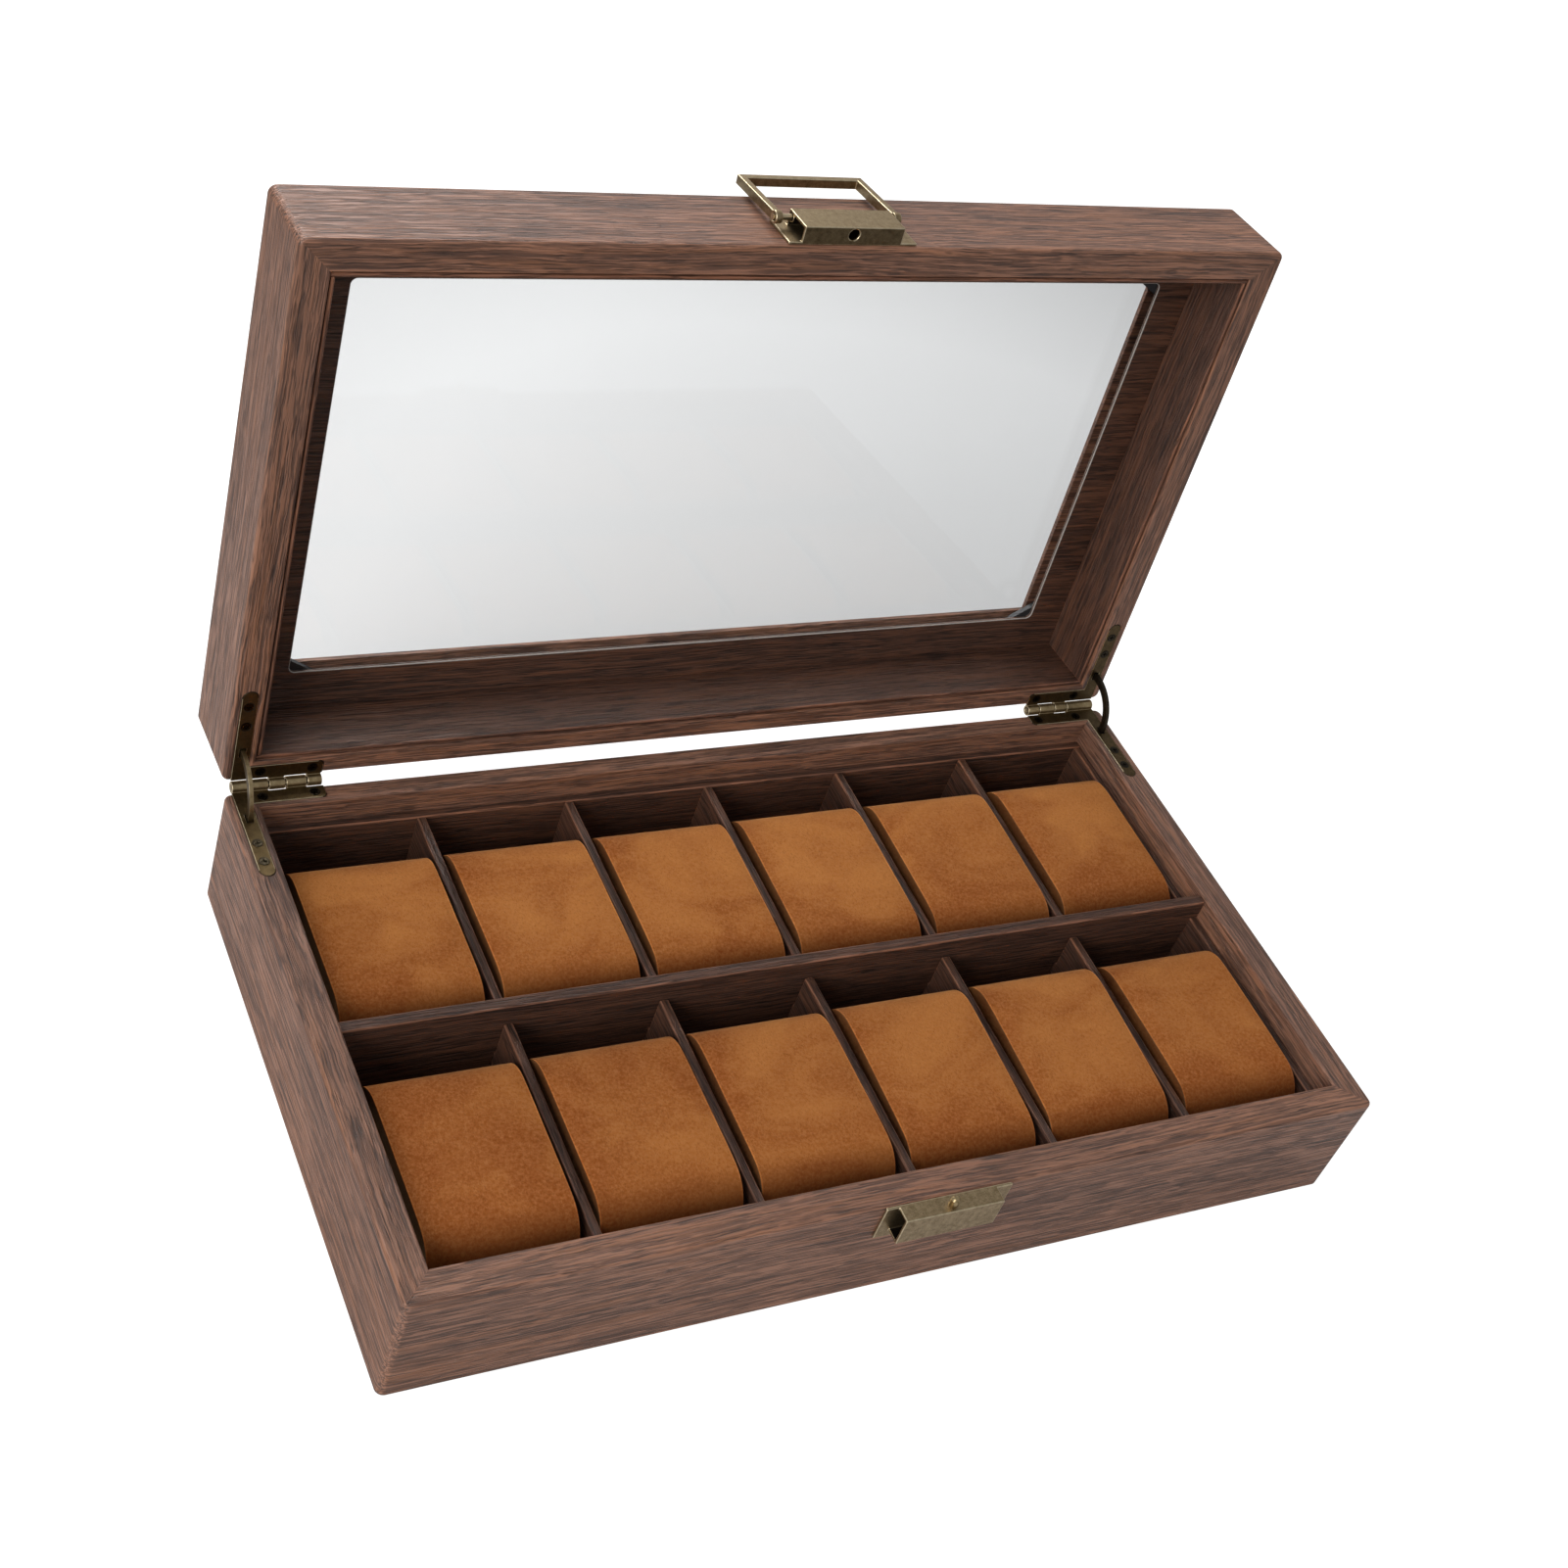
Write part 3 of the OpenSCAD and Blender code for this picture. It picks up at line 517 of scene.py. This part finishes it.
for node, way in (
    ("tray_front", "x"), ("tray_back", "x"), ("tray_left", "y"), ("tray_right", "y"), ("row_divider", "x"),
    ("column_divider_1", "y"), ("column_divider_2", "y"), ("column_divider_3", "y"),
    ("column_divider_4", "y"), ("column_divider_5", "y"),
):
    board = merged_copy(node, node + "_lined")
    ease(board, 0.0005, 3, bevel_second_finish=True)
    dress(board, node, "inner_leatherette", *shaded_inner[way])

# ---------- cushions ----------


ROUND = 72


def side_outline(node, count):
    """Evenly spaced points (Y, Z) round the side of a packed cushion, about its middle."""
    low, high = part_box(node)
    middle = (low + high) / 2
    rim = {(round(v.co.y, 6), round(v.co.z, 6)) for v in nodes[node].data.vertices if v.co.x < low.x + 1e-5}
    rim = sorted(((y - middle.y, z - middle.z) for y, z in rim), key=lambda p: math.atan2(p[1], p[0]))
    steps = [math.dist(rim[i], rim[(i + 1) % len(rim)]) for i in range(len(rim))]
    outline, i, walked = [], 0, 0.0
    for k in range(count):
        target = sum(steps) * k / count
        while walked + steps[i] < target:
            walked += steps[i]
            i += 1
        t = (target - walked) / steps[i]
        (ya, za), (yb, zb) = rim[i], rim[(i + 1) % len(rim)]
        outline.append((ya + (yb - ya) * t, za + (zb - za) * t))
    return outline


def shaped_cushion():
    """One suede cushion about the origin, a band sewn to two side pieces, swollen by a short cloth run."""
    low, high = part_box("cushion_front_1")
    half = (high - low) / 2 - Vector((0.0002, 0.0006, 0.0006))
    outline = side_outline("cushion_front_1", ROUND)
    seam = (0.0, 0.0004, 0.0008)
    across = [-half.x + d for d in seam]
    across += [-half.x + 0.0008 + (2 * half.x - 0.0016) * k / 14 for k in range(1, 14)]
    across += [half.x - d for d in reversed(seam)]
    side = ((0.0016, 0.30), (0.0015, 0.62), (0.0012, 0.86), (0.0007, 0.955), (0.0002, 0.985))
    rings = [(across[0] + sunk, s) for sunk, s in side]
    rings += [(x, 1.0) for x in across]
    rings += [(across[-1] - sunk, s) for sunk, s in reversed(side)]
    mesh = bmesh.new()
    layer = mesh.loops.layers.uv.new("cushion")
    shrink = Vector((half.y + 0.0006, half.z + 0.0006))
    loops = []
    for x, s in rings:
        loops.append([
            mesh.verts.new((x, y * s * half.y / shrink.x, z * s * half.z / shrink.y)) for y, z in outline])
    for r in range(len(loops) - 1):
        for k in range(ROUND):
            n = (k + 1) % ROUND
            face = mesh.faces.new((loops[r][k], loops[r][n], loops[r + 1][n], loops[r + 1][k]))
            ends = min(r, len(loops) - 2 - r)
            # the side pieces take the third finish, the strip along each seam the second, a painted highlight
            face.material_index = 2 if ends < 5 else 1 if ends == 5 else 0
    for ring in (loops[0], loops[-1]):
        hub = mesh.verts.new((ring[0].co.x, 0, 0))
        for k in range(ROUND):
            mesh.faces.new((hub, ring[k], ring[(k + 1) % ROUND])).material_index = 2
    crease = mesh.edges.layers.float.new("crease_edge")
    for ring in (loops[5], loops[-6]):
        for k in range(ROUND):
            mesh.edges.get((ring[k], ring[(k + 1) % ROUND]))[crease] = 0.75
    bmesh.ops.recalc_face_normals(mesh, faces=mesh.faces)
    for face in mesh.faces:
        for corner in face.loops:
            at = corner.vert.co
            corner[layer].uv = ((at.x + half.x) / (2 * half.x), (at.y + half.y) / (2 * half.y))
    data = bpy.data.meshes.new("cushion_pattern")
    mesh.to_mesh(data)
    mesh.free()
    pillow = bpy.data.objects.new("cushion_pattern", data)
    bpy.context.scene.collection.objects.link(pillow)
    only(pillow)
    start = [v.co.copy() for v in data.vertices]
    cloth = pillow.modifiers.new("swell", "CLOTH")
    cloth.settings.quality = 6
    cloth.settings.mass = 0.1
    cloth.settings.tension_stiffness = 40
    cloth.settings.compression_stiffness = 40
    cloth.settings.shear_stiffness = 20
    cloth.settings.bending_stiffness = 1.5
    cloth.settings.use_pressure = True
    cloth.settings.uniform_pressure_force = 4
    cloth.settings.effector_weights.gravity = 0
    cloth.collision_settings.use_collision = False
    cloth.collision_settings.use_self_collision = False
    cloth.point_cache.frame_start, cloth.point_cache.frame_end = 1, 20
    scene = bpy.context.scene
    for step in range(1, 21):
        scene.frame_set(step)
    swollen = pillow.evaluated_get(bpy.context.evaluated_depsgraph_get())
    moved = [v.co.copy() for v in swollen.data.vertices]
    pillow.modifiers.remove(cloth)
    scene.frame_set(1)
    for v, a, b in zip(data.vertices, start, moved):
        step = Vector((0, b.y - a.y, b.z - a.z))
        v.co = a + step * min(1.0, 0.0008 / max(step.length, 1e-9))
    finer = pillow.modifiers.new("finer", "SUBSURF")
    finer.levels = finer.render_levels = 1
    apply_all(pillow)
    return pillow


# how each cushion lies: tilt in degrees with the back end up, lift and shift toward the back in mm
LIE = {
    "front": [
        (0.4, 0.0, 0.0), (0.2, 0.2, 0.2), (0.5, 0.0, 0.0),
        (3.0, -0.4, 0.3), (3.2, -0.4, 0.2), (0.8, 0.0, -0.2)],
    "back": [
        (0.5, 0.0, 0.0), (0.3, 0.2, 0.1), (0.8, 0.0, 0.0),
        (1.0, 0.0, 0.2), (0.9, 0.0, 0.0), (0.6, 0.2, 0.0)],
}
pattern = shaped_cushion()
for row, lies in LIE.items():
    for i, (tilt, lift, back) in enumerate(lies):
        node = f"cushion_{row}_{i + 1}"
        low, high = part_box(node)
        cushion = bpy.data.objects.new(node + "_suede", pattern.data.copy())
        bpy.context.scene.collection.objects.link(cushion)
        place = (low + high) / 2 + Vector((0, back, lift)) / 1000
        cushion.data.transform(Matrix.Translation(place) @ Matrix.Rotation(math.radians(tilt), 4, "X"))
        only(cushion)
        bpy.ops.object.shade_smooth()
        for m in (suede, seam_highlight_suede, side_suede):
            cushion.data.materials.append(m)
        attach(cushion, "b_" + node)
        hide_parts(node)
bpy.data.objects.remove(pattern)

# ---------- hardware ----------


def mark_leaf(piece):
    """Gives the rolled knuckles of a leaf the third finish and its countersinks the fourth, near-black painted
    shade in those recesses.
    """
    for p in piece.data.polygons:
        if math.hypot(p.center.y - HINGE.y, p.center.z - HINGE.z) < BARREL_R + 0.0002:
            p.material_index = 2 if p.material_index == 0 else p.material_index
        elif 0.15 < abs(p.normal.z) < 0.97 and p.area < 4e-7:
            p.material_index = 3


def mark_hollow(piece, mating, away):
    """Gives the inside of a folded clasp body the fourth finish, near-black painted shade in the hollow. away
    is its side of the mating face.
    """
    for p in piece.data.polygons:
        deep = (p.center.z - mating) * away
        inside = SHEET - half_d - CLASP_OUT < p.center.y < -half_d - BACK_PLATE
        if abs(p.normal.x) < 0.5 and inside:
            if SKIN < deep < CLASP_H - SKIN:
                p.material_index = 3


def mark_facing(piece, way):
    """Gives the flat faces that look this way the third finish."""
    for p in piece.data.polygons:
        if p.normal.dot(Vector(way)) > 0.9 and p.material_index == 0:
            p.material_index = 2


BARREL_R = 0.0018
CLASP_OUT, CLASP_H, CLASP_BACK, CATCH_BACK = 0.0059, 0.0110, 0.0008, 0.0004
SHEET, BACK_PLATE, SKIN = 0.0010, 0.0012, 0.0006
for node, width, shut, finish in (
    ("base_leaf_left", 0.00018, False, leaf_bronze), ("base_leaf_right", 0.00018, False, leaf_bronze),
    ("lid_leaf_left", 0.00018, True, leaf_bronze), ("lid_leaf_right", 0.00018, True, leaf_bronze),
    ("catch_body", 0.0003, False, bronze), ("clasp_body", 0.0003, True, bronze),
    ("clasp_loop", 0.0003, False, bronze),
    ("stay_left", 0.00025, False, bright_brass), ("stay_right", 0.00025, False, shade_black_bronze),
):
    part = merged_copy(node, node + "_cast", shut=shut)
    folded = "leaf" in node or node in ("catch_body", "clasp_body")
    ease(part, width, 2, 50, bevel_second_finish=True, clamp=not folded)
    third = bright_brass
    if "leaf" in node:
        mark_leaf(part)
    if node == "catch_body":
        mark_hollow(part, BASE_H - CATCH_BACK, -1)
    if node == "clasp_body":
        mark_hollow(part, lid_low + CLASP_BACK, 1)
        # painted shade: the faces that look down when the lid is shut, forward when it stands open, take the
        # darker copy of the bronze
        mark_facing(part, (0, 0, -1))
        third = shaded_face_bronze
    # painted light: the two stays are the same part; the left one is drawn in bright brass with painted shade
    # on its face toward -X, the right one all in near-black painted shade
    if node == "stay_left":
        mark_facing(part, (-1, 0, 0))
        third = leaf_bronze
    # the right stay keeps its painted shade on its rounded edges too
    edge = shade_black_bronze if node == "stay_right" else rubbed_highlit_bronze
    dress(part, node, "antique_bronze", finish, edge, third, shade_black_bronze, shut=shut)

for node, finish in (
    ("hinge_pin_left", bronze), ("hinge_pin_right", bronze),
    ("base_screws", screw_bronze), ("lid_screws", screw_bronze),
    ("catch_tacks", leaf_bronze), ("clasp_tacks", leaf_bronze),
    ("clasp_axle", rubbed_highlit_bronze), ("catch_pin", bright_brass),
    ("lid_glass", glass), ("window_corner_pads", pad), ("base_felt", felt), ("base_bottom", shaded_inner["x"][0]),
    ("tray_floor", shaded_inner["x"][0]),
):
    nodes[node].data.materials.clear()
    nodes[node].data.materials.append(finish)

# ---------- studio ----------


def studio_floor():
    """A white sheet that keeps a faint soft shadow for the camera. To every other ray it is grey: darker away
    from the box, lighter just in front of it, and graded across with painted shade, darker to the right and
    nearer the box.
    """
    f = Finish("studio_floor")
    away = f.add("ShaderNodeVectorMath", operation="DISTANCE")
    f.link(f.where, away.inputs[0])
    away.inputs[1].default_value = (0.15, 0.10, 0)
    fall = f.ramp(away.outputs["Value"], 0.30, 0.75)
    slope = f.add("ShaderNodeVectorMath", operation="DOT_PRODUCT")
    f.link(f.where, slope.inputs[0])
    slope.inputs[1].default_value = (-0.33, 0.43, 0)
    # painted shade: graded across the floor that shows through the glass, darker to the right and nearer the
    # box
    paler = f.ramp(slope.outputs["Value"], -0.21, 0.29, 0.73, 1.185)
    across = f.add("ShaderNodeSeparateXYZ")
    f.link(f.where, across.inputs[0])
    paler = f.maths("MULTIPLY", paler, f.ramp(across.outputs[1], -0.07, -0.13, 1.0, 1.5))
    sheet = f.mix(1.0, f.mix(fall, (0.66, 0.66, 0.66), (0.13, 0.13, 0.13)), paler, "MULTIPLY")
    f.set(Base_Color=sheet, Roughness=0.9, Specular_IOR_Level=0.1)
    thin = f.add("ShaderNodeBsdfDiffuse")
    thin.inputs[0].default_value = (0.30, 0.30, 0.30, 1)
    glow = f.add("ShaderNodeEmission")
    glow.inputs[1].default_value = 0.90
    both = f.add("ShaderNodeAddShader")
    f.link(thin.outputs[0], both.inputs[0])
    f.link(glow.outputs[0], both.inputs[1])
    choice = f.add("ShaderNodeMixShader")
    f.link(f.add("ShaderNodeLightPath").outputs["Is Camera Ray"], choice.inputs[0])
    f.link(f.skin.outputs[0], choice.inputs[1])
    f.link(both.outputs[0], choice.inputs[2])
    out = next(n for n in f.tree.nodes if n.type == "OUTPUT_MATERIAL")
    f.link(choice.outputs[0], out.inputs[0])
    bpy.ops.mesh.primitive_plane_add(size=8, location=(0, 1.5, -0.0001))
    floor = bpy.context.object
    floor.name = "floor"
    floor.data.materials.append(f.material)
    bpy.ops.object.transform_apply(location=True, rotation=True, scale=True)


def lamp(name, place, aim, size, watts, colour=(1, 1, 1)):
    data = bpy.data.lights.new(name, "AREA")
    data.shape, data.size, data.energy, data.color = "SQUARE", size, watts, colour
    light = bpy.data.objects.new(name, data)
    bpy.context.scene.collection.objects.link(light)
    light.location = place
    light.rotation_euler = (Vector(aim) - Vector(place)).to_track_quat("-Z", "Y").to_euler()


studio_floor()
lamp("key", (-1.95, -0.95, 1.0), (0, 0, 0.08), 1.4, 47)
lamp("top", (-0.1, 1.5, 1.3), (0, 0, 0.2), 1.2, 31)

world = bpy.data.worlds.new("studio")
bpy.context.scene.world = world
world.use_nodes = True
sky = world.node_tree
sky.nodes.clear()
ends = sky.nodes.new("ShaderNodeOutputWorld")
glow = sky.nodes.new("ShaderNodeBackground")
card = sky.nodes.new("ShaderNodeBackground")
blend = sky.nodes.new("ShaderNodeMixShader")
path = sky.nodes.new("ShaderNodeLightPath")
seen = sky.nodes.new("ShaderNodeMath")
seen.operation = "MAXIMUM"
glow.inputs[0].default_value, glow.inputs[1].default_value = (0.97, 0.98, 1.0, 1), 0.42
card.inputs[0].default_value, card.inputs[1].default_value = (1, 1, 1, 1), 1.0
sky.links.new(path.outputs["Is Camera Ray"], seen.inputs[0])
sky.links.new(path.outputs["Is Transmission Ray"], seen.inputs[1])
sky.links.new(seen.outputs[0], blend.inputs[0])
sky.links.new(glow.outputs[0], blend.inputs[1])
sky.links.new(card.outputs[0], blend.inputs[2])
sky.links.new(blend.outputs[0], ends.inputs[0])

camera = bpy.data.cameras.new("camera")
camera.sensor_width, camera.lens = 36, 53.81
camera.shift_x, camera.shift_y = 0.0151, -0.0402
camera.clip_start, camera.clip_end = 0.05, 30
eye = bpy.data.objects.new("camera", camera)
bpy.context.scene.collection.objects.link(eye)
right = Vector((0.8787072, -0.39042187, 0.27467147))
down = Vector((-0.08194177, -0.69021926, -0.7189457))
ahead = Vector((0.47027567, 0.6092357, -0.63849249))
turn = Matrix((right, -down, -ahead)).transposed()
eye.matrix_world = Matrix.Translation((-0.3578, -0.3942, 0.5650)) @ turn.to_4x4()
bpy.context.scene.camera = eye
bpy.context.scene.view_settings.view_transform = "Standard"
